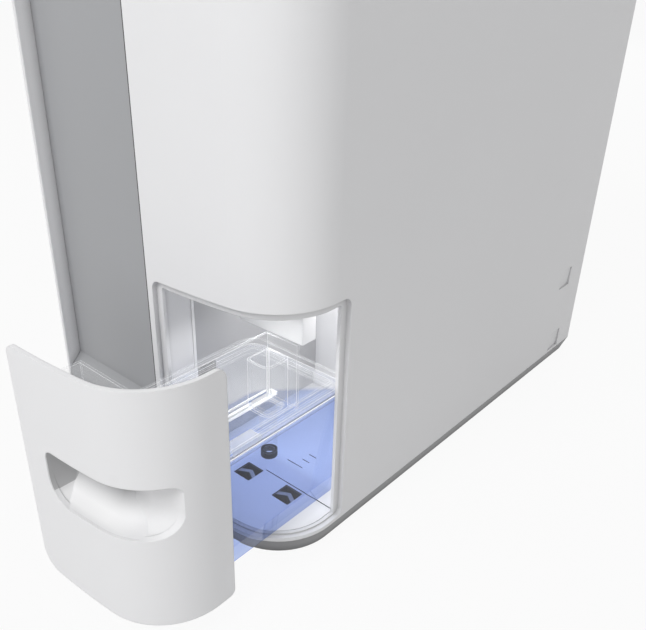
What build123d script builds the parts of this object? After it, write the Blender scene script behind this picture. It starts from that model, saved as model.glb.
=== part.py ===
from build123d import *
import math
import os

os.makedirs("parts", exist_ok=True)

# Cabinet
width = 220.0
depth = 414.0
height = 530.0
wall = 2.6
bow_radius = 520.0
corner_radius = 46.0
rear_radius = 1.5
rear_return = 18.0
seam = 0.3
slip = 0.4
edge_round = 0.8
clip_width = 19.0
clip_height = 17.0
clip_depth = 1.6
clip_spots = [(171.3, 83.2), (170.9, 21.0)]

# Base
plinth_height = 10.2
plinth_draft = 2.6
plinth_rear_round = 9.0
tray_floor = 4.0
pad_radius = 11.0
pad_depth = 2.0
pad_inset = 26.0

# Split of the front
split_x = 1.5
panel_recess = 10.8
front_flange = 15.0
ledge_top = 76.0
ledge_drop = 10.3
panel_thickness = 2.5

# Tank opening and the panel that closes it
opening_left = 7.0
opening_reach = 63.4
opening_low = 13.0
opening_high = 173.4
opening_gap_side = 0.9
opening_gap_low = 3.0
opening_gap_high = 4.0
opening_round_high = 6.0
opening_round_low = 13.0
opening_round_side = 4.0
rebate_depth = 3.3
lip_width = 5.0
lip_thickness = 2.4
jamb_depth = 29.0
tank_pull = 97.5
tank_skin = 2.8

# Handle recess in the tank panel
handle_left = 29.0
handle_reach = 34.0
handle_tilt = 14.0
handle_turn_x = 75.0
handle_low = 77.6
handle_high = 111.6
handle_depth = 20.0
handle_undercut = 6.0
handle_wall = 2.2
handle_lip = 3.4
handle_round_high = 6.0
handle_round_low = 16.0
scoop_bend = 0.62
scoop_rise = 0.16
scoop_back = 0.55
boss_radius = 4.0
boss_z = 60.0
boss_x = (30.0, 62.0)
latch_x = (37.0, 54.0)
latch_half = 4.0
latch_reach = 12.0
latch_z = (132.0, 147.0)

# Tank
tank_inset = 6.0
tank_left = 17.0
tank_length = 172.5
tank_rear_round = 12.0
tank_wall = 2.2
bucket_top = 105.0
bucket_knee_in = 6.4
bucket_knee_z = 36.0
bucket_foot_in = 13.4
bucket_lift = 0.5
lid_gap = 0.2
lid_plate = 1.8
lid_band = 5.4
lid_band_wall = 1.8
lid_skirt = 5.0
lid_groove = 7.0
lid_wall = 1.8
splash_x = 73.0
splash_top = 150.0
splash_reach = 129.5
splash_right_in = 6.0
chamber_width = 19.0
chamber_length = 20.0
chamber_top = 140.0
chamber_round = 5.0
guard_left = 22.0
guard_right = 68.0
guard_reach = 34.5
guard_top = 150.0
pad_reach = 91.8
pad_length = 40.0
pad_drop = 0.5
float_gap = 0.8
float_step = 1.6
float_low = 72.0
float_collar = 3.0
magnet_wall = 2.0
magnet_height = 4.0

# Tank bay
bay_floor = 14.0
bay_floor_thick = 4.2
bay_top = 178.0
bay_length = 176.4
bay_wall = 2.4
bay_left = -11.0
bay_right_in = 5.2
bay_right_reach = 70.0
pocket_size = 15.5
pocket_depth = 9.5
pocket_wall = 1.5
pocket_reach = 51.2
pocket_x = (31.7, 70.4)
hook_drop = 1.2
hook_rise = 4.5
hook_thick = 3.5
groove = 0.8
floor_lines = [(40.0, 104.8, 61.0), (43.0, 58.0, 80.5), (51.0, 58.0, 88.4), (51.0, 58.0, 96.0)]
window_reach = (44.5, 63.5)
window_z = (68.0, 84.0)
lever_length = 11.0
lever_half = 2.5
lever_tilt = 6.0
drip_x = (14.0, 71.4)
drip_reach = (65.4, 78.6)
drip_low = 125.7
drip_wall = 2.0
spout_width = 17.0

# Cooling deck
deck_z = 204.0
deck_thick = 3.0
deck_back = 187.0
deck_rear_gap = 9.0
dam_back = 101.0
dam_height = 20.0
dam_wall = 2.0
ledge_width = 7.0
ledge_thick = 3.0
ledge_rear_gap = 10.0
channel_x = (28.0, 52.0)
channel_low = 190.0
channel_wall = 2.0
drain_radius = 5.0

# Heat exchangers
coil_half = 80.0
coil_height = 240.0
coil_depth = 26.0
fin_pitch = 8.0
fin_slot = 5.0
fin_slot_depth = 9.0
end_plate = 2.0
tube_radius = 4.0
bend_radius = 13.0
bend_count = 4
evaporator_back = 49.0
condenser_back = 85.0
pipe_x = 94.5
pipe_bend = 12.0
pipe_top_drop = 12.0

# Fan
fan_z = 325.0
fan_radius = 75.0
fan_gap = 11.0
fan_length = 36.0
fan_back = 131.0
blade_count = 24
blade_thick = 1.6
blade_length = 15.0
blade_lean = 35.0
shaft_radius = 4.0
bearing_gap = 0.05
shroud_wall = 2.2
shroud_back = (141.0, 87.5)
shroud_inlet = 62.0
motor_radius = 40.0
motor_length = 34.0
motor_flange = 3.0
leg_spread = 0.55
leg_rise = 0.8

# Compressor
comp_x = -6.0
comp_y = 78.0
comp_radius = 58.0
comp_low = 24.0
comp_high = 184.0
comp_dome = 22.0
comp_foot_ring = 74.0
comp_foot_thick = 3.0
grommet_radius = 9.0
grommet_height = 12.0
stub_z = 150.0

# Electronics
case_width = 70.0
case_front = 32.0
case_length = 118.0
case_top = 150.0
case_round = 3.0
can_radius = 20.0
can_height = 80.0
can_offset = (36.0, 40.0)

# Top cover and controls
top_seam_z = 500.0
top_plate = 3.0
top_round = 8.0
outlet_x = 80.0
outlet_back = (140.5, 89.0)
louvre_gap = 0.7
louvre_thick = 2.4
louvre_pin = 2.0
louvre_knuckle = 3.0
louvre_axis_drop = 5.2
rib_count = 5
rib_start = 5.0
rib_pitch = 7.5
rib_thick = 1.5
rib_depth = 2.0
rib_margin = 4.0
control_x = 80.0
control_reach = (25.0, 75.0)
control_recess = 1.6
control_gap = 0.25
button_radius = 6.0
button_gap = 0.5
button_flange = 7.5
button_flange_thick = 2.0
button_travel = 1.2
button_proud = 1.0
button_reach = 63.0
button_x = (-54.0, -18.0, 18.0, 54.0)
display_x = 42.0
display_reach = (32.0, 48.0)
board_drop = 6.0
board_thick = 1.6
board_margin = 6.0
tact_half = 3.0
module_margin = 4.0
post_radius = 3.0
post_inset = 12.0
post_front = 6.0
post_rear = 4.0

# Rear
rear_flange = 8.0
intake_x = 80.0
intake_z = (226.0, 456.0)
intake_gap = 0.4
grille_bars = 15
grille_bar = 3.0
grille_frame = 8.0
filter_thick = 2.4
grille_lean = 35.0
grille_blade = 1.4
notch_width = 44.0
filter_skin = 0.6
cell_rows = 4
cell_columns = 3
vent_rows = 6
vent_low = 62.0
vent_pitch = 14.0
vent_length = 40.0
vent_height = 5.0
vent_x = (-48.0, 0.0, 48.0)
screw_z = (32.0, 190.0, 340.0, 480.0)
screw_head = 3.4
screw_shank = 1.7
cord_hole = 7.0
cord_x = -70.0
cord_z = 34.0

half = width / 2
front_y = -depth / 2
rear_y = depth / 2
bow_y = front_y + bow_radius
corner_x = half - corner_radius
corner_y = bow_y - math.sqrt((bow_radius - corner_radius) ** 2 - corner_x ** 2)
bow_end = math.atan2(corner_x, bow_y - corner_y)
reach = 3 * depth
opening_side_y = front_y + opening_reach
handle_side_y = front_y + handle_reach
tank_rear_y = front_y + tank_length
splash_rear_y = front_y + splash_reach
guard_rear_y = front_y + guard_reach
pad_rear_y = front_y + pad_reach
bay_rear_y = front_y + bay_length
bay_right = half - bay_right_in
bay_right_start = front_y + bay_right_reach
pocket_y = front_y + pocket_reach
window_y = [front_y + y for y in window_reach]
drip_y = [front_y + y for y in drip_reach]
deck_front_y = rear_y - deck_back
deck_rear_y = rear_y - deck_rear_gap
dam_y = rear_y - dam_back
evaporator_y = rear_y - evaporator_back
condenser_y = rear_y - condenser_back
fan_y = rear_y - fan_back
shroud_front_y, shroud_rear_y = [rear_y - y for y in shroud_back]
outlet_y = [rear_y - y for y in outlet_back]
control_y = [front_y + y for y in control_reach]
button_y = front_y + button_reach
display_y = [front_y + y for y in display_reach]
tank_right = half - tank_inset
bucket_knee_x = tank_right - bucket_knee_in
bucket_foot_x = tank_right - bucket_foot_in
splash_right_x = tank_right - splash_right_in


def block(x, y, z):
    centre = ((x[0] + x[1]) / 2, (y[0] + y[1]) / 2, (z[0] + z[1]) / 2)
    return Pos(*centre) * Box(x[1] - x[0], y[1] - y[0], z[1] - z[0])


def rod(start, end, radius):
    path = Edge.make_line(start, end)
    return Solid.make_cylinder(radius, path.length, Plane(start, z_dir=path % 0))


def bow_point(inset, angle):
    radius = bow_radius - inset
    return (radius * math.sin(angle), bow_y - radius * math.cos(angle))


def corner_point(inset, angle):
    radius = corner_radius - inset
    return (corner_x + radius * math.cos(angle), corner_y + radius * math.sin(angle))


# Plan of the cabinet, flat on the left of the front, bowed on the right
def footprint(inset, rear_round=rear_radius):
    rear = max(rear_round - inset, edge_round)
    side = half - inset
    back = rear_y - inset
    front = front_y + inset
    turn = (bow_end - math.pi / 2) / 2
    diagonal = rear * math.sqrt(0.5)
    edges = [
        Edge.make_line((-side, front), (0, front)),
        Edge.make_three_point_arc((0, front), bow_point(inset, bow_end / 2), bow_point(inset, bow_end)),
        Edge.make_three_point_arc(
            bow_point(inset, bow_end), corner_point(inset, turn), corner_point(inset, 0)
        ),
        Edge.make_line((side, corner_y), (side, back - rear)),
        Edge.make_three_point_arc(
            (side, back - rear), (side - rear + diagonal, back - rear + diagonal), (side - rear, back)
        ),
        Edge.make_line((side - rear, back), (-side + rear, back)),
        Edge.make_three_point_arc(
            (-side + rear, back), (-side + rear - diagonal, back - rear + diagonal), (-side, back - rear)
        ),
        Edge.make_line((-side, back - rear), (-side, front)),
    ]
    return Face(Wire(edges))


def prism(inset, z):
    return extrude(Pos(0, 0, z[0]) * footprint(inset), amount=z[1] - z[0], dir=(0, 0, 1))


def ring(outer, inner, z):
    return prism(outer, z) - prism(inner, z)


# A slab whose four corners have one radius below and another above
def rounded_slab(length, z, low, high):
    slab = Rectangle(length, z[1] - z[0])
    slab = fillet(slab.vertices().group_by(Axis.Y)[-1], high)
    return fillet(slab.vertices().group_by(Axis.Y)[0], low)


# Block that covers an opening wrapped round the front corner
def wrap_block(left, side_y, z, low, high, side_low, side_high, tilt=0.0):
    middle = (z[0] + z[1]) / 2
    face = Plane.XZ * Pos(left + reach / 2, middle) * rounded_slab(reach, z, low, high)
    side = Plane.YZ * Pos(-reach / 2, middle) * rounded_slab(reach, z, side_low, side_high)
    flank = Pos(half, side_y, 0) * Rot(0, 0, tilt) * extrude(side, amount=reach, both=True)
    return extrude(face, amount=reach, both=True) & flank


def opening_block(grow, grow_low):
    z = (opening_low - grow_low, opening_high + grow)
    low = max(opening_round_low + grow, edge_round)
    high = max(opening_round_high + grow, edge_round)
    side = max(opening_round_side + grow, edge_round)
    return wrap_block(opening_left - grow, opening_side_y + grow, z, low, high, side, high)


def save(shape, name):
    solids = shape.solids()
    whole = solids[0] if len(solids) == 1 else Compound(children=list(solids))
    export_step(whole, f"parts/{name}.step")


def closed_to_rest(shape):
    return Pos(0, -tank_pull, 0) * shape


shell_z = (plinth_height, top_seam_z)
inside_x = half - wall
inside_rear = rear_y - wall
panel_front_y = front_y + panel_recess
deck_top = deck_z + deck_thick

# Base tray with a tapered plinth
plinth_foot = footprint(plinth_draft, plinth_rear_round + plinth_draft)
plinth = loft([plinth_foot, Pos(0, 0, plinth_height) * footprint(0)])
base = plinth - prism(2 * wall, (tray_floor, plinth_height))
pad_x = half - pad_inset
pad_y = rear_y - pad_inset
pad_spots = [(sx * pad_x, sy * pad_y) for sx in (-1, 1) for sy in (-1, 1)]
for spot in pad_spots:
    base -= Pos(*spot, 0) * Cylinder(pad_radius + seam, 2 * pad_depth)
foot_angles = [90, 210, 330]
feet = [
    (
        comp_x + comp_foot_ring * math.cos(math.radians(a)),
        comp_y + comp_foot_ring * math.sin(math.radians(a)),
    )
    for a in foot_angles
]
stud_top = tray_floor + grommet_height + comp_foot_thick + 2 * slip
for foot in feet:
    base += rod((*foot, tray_floor - slip), (*foot, stud_top), grommet_radius / 3)
for x in (-half / 2, half / 2):
    rib_y = (comp_y + comp_radius, inside_rear - 2 * wall)
    base += block((x - wall / 2, x + wall / 2), rib_y, (0, plinth_height))
save(base, "base_tray")
save(
    Compound(children=[Pos(*s, pad_depth / 2) * Cylinder(pad_radius, pad_depth) for s in pad_spots]),
    "rubber_pads",
)

# Right shell
outer_wall = ring(0, wall, shell_z)
right_zone = block((split_x, reach), (-reach, 0), shell_z)
right_zone += block((half - rear_return, reach), (-edge_round, reach), shell_z)
right = outer_wall & right_zone
right += block(
    (split_x, split_x + wall),
    (bow_point(wall, 0)[1] - wall / 2, front_y + front_flange),
    shell_z,
)
opening = opening_block(0, 0)
rim_outer = opening_block(lip_thickness, lip_thickness - slip)
lip_opening = opening_block(-lip_width, opening_low - bay_floor)
collar = (ring(wall / 2, rebate_depth + lip_thickness, shell_z) & rim_outer) - opening
lip = (ring(rebate_depth, rebate_depth + lip_thickness, shell_z) & rim_outer) - lip_opening
jamb = block(
    (opening_left - lip_thickness, opening_left),
    (front_y + rebate_depth + lip_thickness / 2, front_y + jamb_depth),
    (opening_low, opening_high),
)
right = (right - opening) + collar + lip + jamb
deck_ledge_y = (deck_front_y, inside_rear - ledge_rear_gap)
deck_ledge_z = (deck_z - ledge_thick, deck_z)
right += block((inside_x - ledge_width, half - wall / 2), deck_ledge_y, deck_ledge_z)
# Wedge-shaped clip grips, deepest at the lower rear corner
for y, z in clip_spots:
    clip_y = (y - clip_width / 2, y + clip_width / 2)
    clip_z = (z - clip_height / 2, z + clip_height / 2)
    slope = (1, clip_depth / 2 / clip_width, -clip_depth / 2 / clip_height)
    floor = Plane(origin=(half, clip_y[0], clip_z[1]), z_dir=slope)
    right -= split(block((half - wall, half + wall), clip_y, clip_z), bisect_by=floor, keep=Keep.TOP)

# Left shell
left_zone = block((-reach, -inside_x), (-reach, 0), shell_z)
left_zone += block((-reach, -half + rear_return), (-edge_round, reach), shell_z)
left_zone -= block((-inside_x, reach), (-reach, 0), shell_z)
left = outer_wall & left_zone
left += block((-half + wall / 2, -inside_x + ledge_width), deck_ledge_y, deck_ledge_z)
front_edges = left.edges().filter_by(Axis.Z).group_by(Axis.Y)[0]
left = fillet(front_edges, edge_round)

rear_half = half - rear_return - seam

# Rear screws through the shell returns and the cover's flange
screw_x = half - rear_return + rear_flange / 2
screw_spots = [(s * screw_x, z) for s in (-1, 1) for z in screw_z]
rear_screws = []
for x, z in screw_spots:
    shank = rod((x, inside_rear - wall, z), (x, rear_y, z), screw_shank)
    head = rod((x, rear_y, z), (x, rear_y + screw_shank, z), screw_head)
    rear_screws.append(shank + head)
    bore = rod((x, inside_rear - 2 * wall, z), (x, rear_y + wall, z), screw_shank + bearing_gap)
    right -= bore
    left -= bore
save(right, "right_shell")
save(left, "left_shell")
save(Compound(children=rear_screws), "rear_screws")

# Grey front panel with the sloped ledge
foot_y = panel_front_y - ledge_drop
ledge_low = ledge_top - ledge_drop
back = panel_thickness
profile = Polyline(
    (panel_front_y, top_seam_z),
    (panel_front_y, ledge_top),
    (foot_y, ledge_low),
    (foot_y, plinth_height),
    (foot_y + back, plinth_height),
    (foot_y + back, ledge_low - back / 2),
    (panel_front_y + back, ledge_top - back / 2),
    (panel_front_y + back, top_seam_z),
    close=True,
)
section = make_face(profile)
bends = [v for v in section.vertices() if plinth_height + 1 < v.Y < top_seam_z - 1]
section = fillet(bends, edge_round)
panel_span = (-inside_x + seam, split_x - seam)
grey = extrude(Plane.YZ * section, amount=panel_span[1] - panel_span[0])
save(Pos(panel_span[0], 0, 0) * grey, "front_panel")

# Tank bay liner
floor_z = (bay_floor - bay_floor_thick, bay_floor)
roof_z = (bay_top, bay_top + bay_wall)
liner_z = (floor_z[0], roof_z[1])
liner_inset = rebate_depth + lip_thickness + seam
liner_plan = prism(liner_inset, liner_z) & block(
    (bay_left - bay_wall, half), (-reach, bay_rear_y + bay_wall), liner_z
)
behind_jamb = front_y + jamb_depth + seam
bay_z = (bay_floor, bay_top)
hollow = block((bay_left, bay_right), (behind_jamb + bay_wall, bay_rear_y), bay_z)
liner = liner_plan - hollow - block((opening_left, half), (-reach, bay_right_start), bay_z)
liner -= block((-half, opening_left + slip), (-reach, behind_jamb), liner_z)
liner -= ring(0, rebate_depth + lip_thickness + seam, liner_z)
rim_clear = opening_block(lip_thickness + seam, lip_thickness + seam)
liner -= ring(0, liner_inset, liner_z) & rim_clear
# Open wells in the floor, each with a bent rib across it that catches the tank
well_size = pocket_size + 2 * pocket_wall
hook_half = pocket_size / 2 + pocket_wall / 2
hook_low = -(hook_rise + hook_thick) / 2
hook = Polyline(
    (-hook_half, hook_low),
    (0, hook_low + hook_rise),
    (hook_half, hook_low),
    (hook_half, hook_low + hook_thick),
    (0, hook_low + hook_rise + hook_thick),
    (-hook_half, hook_low + hook_thick),
    close=True,
)
well_low = bay_floor - pocket_depth
for x in pocket_x:
    spot = Pos(x, pocket_y, well_low)
    liner += spot * Box(well_size, well_size, pocket_depth, align=(Align.CENTER, Align.CENTER, Align.MIN))
    pocket = fillet(Box(pocket_size, pocket_size, 4 * pocket_depth).edges().filter_by(Axis.Z), edge_round)
    liner -= spot * pocket
    liner += extrude(spot * make_face(hook), amount=pocket_depth - hook_drop, dir=(0, 0, 1))
for x0, x1, back in floor_lines:
    line_y = front_y + back
    liner -= block((x0, x1), (line_y - groove / 2, line_y + groove / 2), (bay_floor - groove, bay_floor))
liner -= block((bay_left - 2 * bay_wall, bay_left + slip), window_y, window_z)
drip_middle = (drip_x[0] + drip_x[1]) / 2
spout_y = (drip_y[0] + drip_wall + seam, drip_y[1] - drip_wall - seam)
spout_x = (drip_middle - spout_width / 2, drip_middle + spout_width / 2)
liner -= block(spout_x, spout_y, roof_z)
save(liner, "bay_liner")

# Drip box under the bay's ceiling
drip_z = (drip_low, bay_top)
drip = block(drip_x, drip_y, drip_z)
drip = fillet(drip.edges().filter_by(Axis.Z), edge_round)
drip_in = [
    (a + drip_wall, b - drip_wall) for a, b in (drip_x, drip_y)
]
drip -= block(drip_in[0], drip_in[1], (drip_low + drip_wall, bay_top))
drip -= block(spout_x, spout_y, drip_z)
save(drip, "drip_box")

# Switch that feels the tank through the bay's left wall
switch_y = (window_y[0] + slip, window_y[1] - slip)
switch_z = (window_z[0] + slip, window_z[1] - slip)
switch = block((bay_left - 5 * bay_wall, bay_left - slip), switch_y, switch_z)
switch_pivot = (bay_left - slip, switch_y[0] + bay_wall, sum(switch_z) / 2)
switch += Pos(*switch_pivot) * Rot(0, 0, lever_tilt) * block(
    (-slip, slip), (0, lever_length), (-lever_half, lever_half)
)
save(switch, "tank_switch")

# Tank panel, its scooped handle follows the curve of the front
panel_z = (opening_low + opening_gap_low, opening_high - opening_gap_high)
tank_front = ring(0, tank_skin, panel_z) & wrap_block(
    opening_left + opening_gap_side,
    opening_side_y - opening_gap_side,
    panel_z,
    opening_round_low,
    opening_round_high,
    opening_round_side,
    opening_round_high,
)
handle_path = Wire(
    [
        Edge.make_three_point_arc((0, front_y), bow_point(0, bow_end / 2), bow_point(0, bow_end)),
        Edge.make_three_point_arc(
            bow_point(0, bow_end), corner_point(0, (bow_end - math.pi / 2) / 2), corner_point(0, 0)
        ),
    ]
)


# Scoop section: floor curves in and up to a back wall behind the top lip
def scoop(grow, mouth):
    low = handle_low - grow
    top = handle_high + handle_undercut + grow
    back_d = handle_depth + grow
    mouth_height = handle_high - handle_low
    turn_up = (back_d, low + mouth_height * scoop_back)
    bottom = Spline(
        (mouth, low),
        (back_d * scoop_bend, low + mouth_height * scoop_rise),
        turn_up,
        tangents=((1, 0.05), (0.1, 1)),
    )
    outline = bottom + Polyline(
        turn_up,
        (back_d, top),
        (handle_lip - 2 * grow, top),
        (handle_lip - 2 * grow, handle_high),
        (mouth, handle_high),
        (mouth, low),
    )
    face = make_face(outline.edges())
    return sweep(Plane((0, front_y, 0), x_dir=(0, 1, 0), z_dir=(1, 0, 0)) * face, path=handle_path)


# Room of the recess, with an end wall that slants in from the side
def handle_block(grow):
    z = (handle_low - grow - slip, handle_high + handle_undercut + grow + slip)
    low = handle_round_low + grow
    high = handle_round_high + grow
    left = handle_left - grow
    slanted = wrap_block(left, handle_side_y + grow, z, low, high, low, high, handle_tilt)
    straight = wrap_block(left, reach / 2, z, low, high, low, high)
    return slanted + (straight & block((-reach, handle_turn_x + grow), (-reach, reach), z))


handle_mouth = wrap_block(
    handle_left,
    handle_side_y,
    (handle_low, handle_high),
    handle_round_low,
    handle_round_high,
    handle_round_low,
    handle_round_high,
    handle_tilt,
)
cavity = (scoop(0, -edge_round) & handle_block(0)) - (ring(0, handle_lip, panel_z) - handle_mouth)
cup = scoop(handle_wall, tank_skin / 2) & handle_block(handle_wall)
tank_front = (tank_front - handle_mouth) + (cup & prism(tank_skin / 2, panel_z)) - cavity
for x in boss_x:
    boss = rod((x, front_y, boss_z), (x, front_y + 3 * tank_inset, boss_z), boss_radius)
    tank_front += boss & ring(tank_skin / 2, tank_inset - bearing_gap, panel_z)
# Wedge latches inside the clear box of the lid
for x in latch_x:
    latch = Polyline(
        (front_y, latch_z[0]), (front_y + latch_reach, latch_z[1]), (front_y, latch_z[1]), close=True
    )
    wedge = Pos(x - latch_half, 0, 0) * extrude(Plane.YZ * make_face(latch), amount=2 * latch_half)
    tank_front += wedge & prism(tank_skin / 2, panel_z)
save(closed_to_rest(tank_front), "tank_panel")


# Plan of the tank as a prism, drawn in by an inset
def tank_prism(inset, z):
    body = prism(tank_inset + inset, z) & block(
        (tank_left + inset, half), (-reach, tank_rear_y - inset), z
    )
    rear_edges = body.edges().filter_by(Axis.Z).group_by(Axis.Y)[-1]
    return fillet(rear_edges, max(tank_rear_round - inset, edge_round))


# Right wall of the bucket leans in towards its foot
def bucket_lean(inset):
    foot_z = bay_floor + bucket_lift + inset
    top_x = tank_right - inset
    left_x = tank_left + inset
    outline = Polyline(
        (left_x + opening_round_low, foot_z),
        (bucket_foot_x - inset, foot_z),
        (bucket_knee_x - inset, bucket_knee_z),
        (top_x, bucket_top),
        (top_x, bucket_top + half),
        (left_x, bucket_top + half),
        (left_x, foot_z + opening_round_low),
        close=True,
    )
    return extrude(Plane.XZ * make_face(outline), amount=reach, both=True)


bucket_z = (bay_floor + bucket_lift, bucket_top)
dent_z = (handle_low - handle_wall - slip, handle_high + handle_undercut + handle_wall + slip)


# Room for the handle's cup, open upwards unless it is capped
def dent(grow, top=bucket_top + half):
    zone = wrap_block(
        handle_left - handle_wall - grow,
        handle_side_y + handle_wall + grow,
        (dent_z[0] - grow, dent_z[1] + bucket_top),
        edge_round,
        edge_round,
        edge_round,
        edge_round,
    )
    return ring(0, handle_depth + handle_wall + grow, (dent_z[0] - grow, top)) & zone


bucket = (tank_prism(0, bucket_z) & bucket_lean(0)) - dent(slip)
bucket_hollow = tank_prism(tank_wall, (bucket_z[0], bucket_top + half)) & bucket_lean(tank_wall)
bucket -= bucket_hollow - dent(slip + tank_wall)
save(closed_to_rest(bucket), "tank_bucket")

# Clear lid with rim band, splash walls, float chamber and front guard
lid_low = bucket_top + lid_gap
lid_z = (lid_low, lid_low + lid_plate)
band_z = (lid_low, lid_low + lid_band)
lid = tank_prism(0, lid_z)
lid += tank_prism(0, band_z) - tank_prism(lid_band_wall, band_z)
groove_z = (lid_low, lid_low + lid_band - lid_plate / 2)
lid += tank_prism(lid_groove, groove_z) - tank_prism(lid_groove + lid_wall, groove_z)
lid -= dent(slip)
lid += (dent(slip + lid_band_wall) & tank_prism(0, band_z)) - dent(slip)
skirt_inset = tank_wall + 2 * slip
skirt_z = (lid_low - lid_skirt, lid_low + lid_plate / 2)
skirt = tank_prism(skirt_inset, skirt_z) - tank_prism(skirt_inset + lid_wall, skirt_z)
lid += skirt - dent(slip + skirt_inset)
wall_z = (lid_low, splash_top)
splash_y = (guard_rear_y, splash_rear_y)
splash = block((splash_x, splash_x + lid_wall), splash_y, wall_z)
splash += block((splash_x - lid_wall, splash_x + 2 * lid_wall), splash_y, (lid_low, lid_z[1] + lid_wall))
lid += splash - dent(slip, dent_z[1])
lid += block((splash_x, splash_right_x), (splash_rear_y - lid_wall, splash_rear_y), wall_z)
chamber_x = splash_x + lid_wall / 2 + chamber_width / 2
chamber_y = splash_rear_y - lid_wall / 2 - chamber_length / 2


# Rounded plan of the float chamber, drawn in by an inset
def chamber_plan(inset):
    return RectangleRounded(chamber_width - 2 * inset, chamber_length - 2 * inset, chamber_round - inset)


def chamber_prism(inset, z):
    return extrude(Pos(chamber_x, chamber_y, z[0]) * chamber_plan(inset), amount=z[1] - z[0])


lid += chamber_prism(0, (lid_low, chamber_top))
lid -= chamber_prism(lid_wall, (lid_z[1], chamber_top + lid_wall))
lid -= chamber_prism(lid_wall + float_step, (lid_low - lid_skirt, chamber_top))
guard_z = (lid_low, guard_top)
guard = prism(tank_inset, guard_z) & block((guard_left, guard_right), (-reach, guard_rear_y), guard_z)
guard_in = (guard_left + lid_wall, guard_right - lid_wall)
guard -= block(guard_in, (-reach, guard_rear_y - lid_wall), guard_z)
lid += guard - dent(slip, dent_z[1])
pad_x = (tank_right - lid_groove - lid_wall, half)
pad_z = (lid_low, lid_low + lid_band - pad_drop)
lid += block(pad_x, (pad_rear_y - pad_length, pad_rear_y), pad_z) & tank_prism(0, pad_z)
inlet_x = (tank_left + lid_groove + 2 * lid_wall, drip_x[1] - 4 * drip_wall)
lid -= block(inlet_x, (drip_y[0] - drip_wall, drip_y[1] + drip_wall), lid_z)
save(closed_to_rest(lid), "tank_lid")

# Float hangs in the chamber by its collar and carries a ring magnet at its foot
float_top = lid_z[1] + float_collar
stem_radius = chamber_width / 2 - lid_wall - float_step - float_gap
neck_radius = stem_radius - magnet_wall


def float_rod(z, radius):
    return rod((chamber_x, chamber_y, z[0]), (chamber_x, chamber_y, z[1]), radius)


magnet_z = (float_low, float_low + magnet_height)
float_body = float_rod((magnet_z[1], float_top), stem_radius)
float_body += float_rod((float_low, float_top), neck_radius)
float_body += chamber_prism(lid_wall + float_gap, (lid_z[1], float_top))
magnet = float_rod(magnet_z, stem_radius) - float_rod(magnet_z, neck_radius + bearing_gap)
save(closed_to_rest(float_body), "tank_float")
save(closed_to_rest(magnet), "float_magnet")

# Deck under the coils, with a dammed drip tray
deck_half = inside_x - 2 * seam
deck = block((-deck_half, deck_half), (deck_front_y, deck_rear_y), (deck_z, deck_top))
dam_z = (deck_z, deck_top + dam_height)
dam = block((-deck_half, deck_half), (dam_y, deck_rear_y), dam_z)
dam = fillet(dam.edges().filter_by(Axis.Z), 2 * dam_wall)
dam -= block((-deck_half + dam_wall, deck_half - dam_wall), (dam_y + dam_wall, deck_rear_y - dam_wall), dam_z)
deck += dam
channel_middle = sum(channel_x) / 2
drain_y = dam_y + 4 * dam_wall
deck -= Pos(channel_middle, drain_y, deck_z) * Cylinder(drain_radius, 4 * deck_thick)
pipe_hole = tube_radius + 2 * slip
for s in (-1, 1):
    deck -= Pos(s * pipe_x, comp_y, deck_z) * Cylinder(pipe_hole, 4 * deck_thick)
save(deck, "drip_tray")

# Channel that leads the water forward to the drip box
channel_y = (drip_y[0], drain_y + 4 * dam_wall)
channel = block(channel_x, channel_y, (channel_low, deck_z))
channel_in = [(a + channel_wall, b - channel_wall) for a, b in (channel_x, channel_y)]
channel -= block(channel_in[0], channel_in[1], (channel_low + channel_wall, deck_z))
spout_in = [(a + channel_wall, b - channel_wall) for a, b in (spout_x, spout_y)]
channel += block(spout_x, spout_y, (roof_z[1], channel_low + channel_wall))
channel -= block(spout_in[0], spout_in[1], (bay_top, channel_low + 2 * channel_wall))
save(channel, "drain_channel")


# Finned coil: one comb section pulled up, end plates and return bends
def coil(y):
    count = int(2 * coil_half / fin_pitch)
    body = Rectangle(2 * coil_half, coil_depth)
    slots = [
        Pos(-coil_half + (i + 0.5) * fin_pitch, s * coil_depth / 2) * Rectangle(fin_slot, 2 * fin_slot_depth)
        for i in range(count)
        for s in (-1, 1)
    ]
    comb = extrude(Pos(0, 0, deck_top) * (body - slots), amount=coil_height)
    for s in (-1, 1):
        comb += Pos(s * (coil_half + end_plate / 2), 0, deck_top + coil_height / 2) * Box(
            end_plate, coil_depth, coil_height
        )
    return Pos(0, y + coil_depth / 2, 0) * comb


def return_bends(y):
    bends = []
    pitch = (coil_height - 3 * pipe_top_drop) / bend_count
    for s in (-1, 1):
        for i in range(bend_count):
            z = deck_top + pipe_top_drop + (i + 0.5) * pitch
            spot = (s * (coil_half + end_plate), y + coil_depth / 2, z)
            section = Pos(spot[0], spot[1], z + bend_radius) * Rot(0, 90, 0) * Circle(tube_radius)
            bends.append(revolve(section, Axis(spot, (0, s, 0)), 180))
    return bends


save(coil(evaporator_y), "evaporator")
save(coil(condenser_y), "condenser")
save(Compound(children=return_bends(evaporator_y) + return_bends(condenser_y)), "coil_bends")


# Refrigerant pipe from the compressor's stub up to a coil's end plate
def pipe(side, coil_y):
    top_z = deck_top + coil_height - pipe_top_drop
    start = (comp_x + side * (comp_radius + 2 * tube_radius), comp_y, stub_z)
    points = [
        start,
        (side * pipe_x, comp_y, stub_z),
        (side * pipe_x, comp_y, top_z),
        (side * pipe_x, coil_y + coil_depth / 2, top_z),
        (side * (coil_half + end_plate), coil_y + coil_depth / 2, top_z),
    ]
    path = FilletPolyline(*points, radius=pipe_bend)
    return sweep(Plane(start, z_dir=(side, 0, 0)) * Circle(tube_radius), path=path)


save(pipe(-1, condenser_y), "discharge_pipe")
save(pipe(1, evaporator_y), "suction_pipe")

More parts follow.
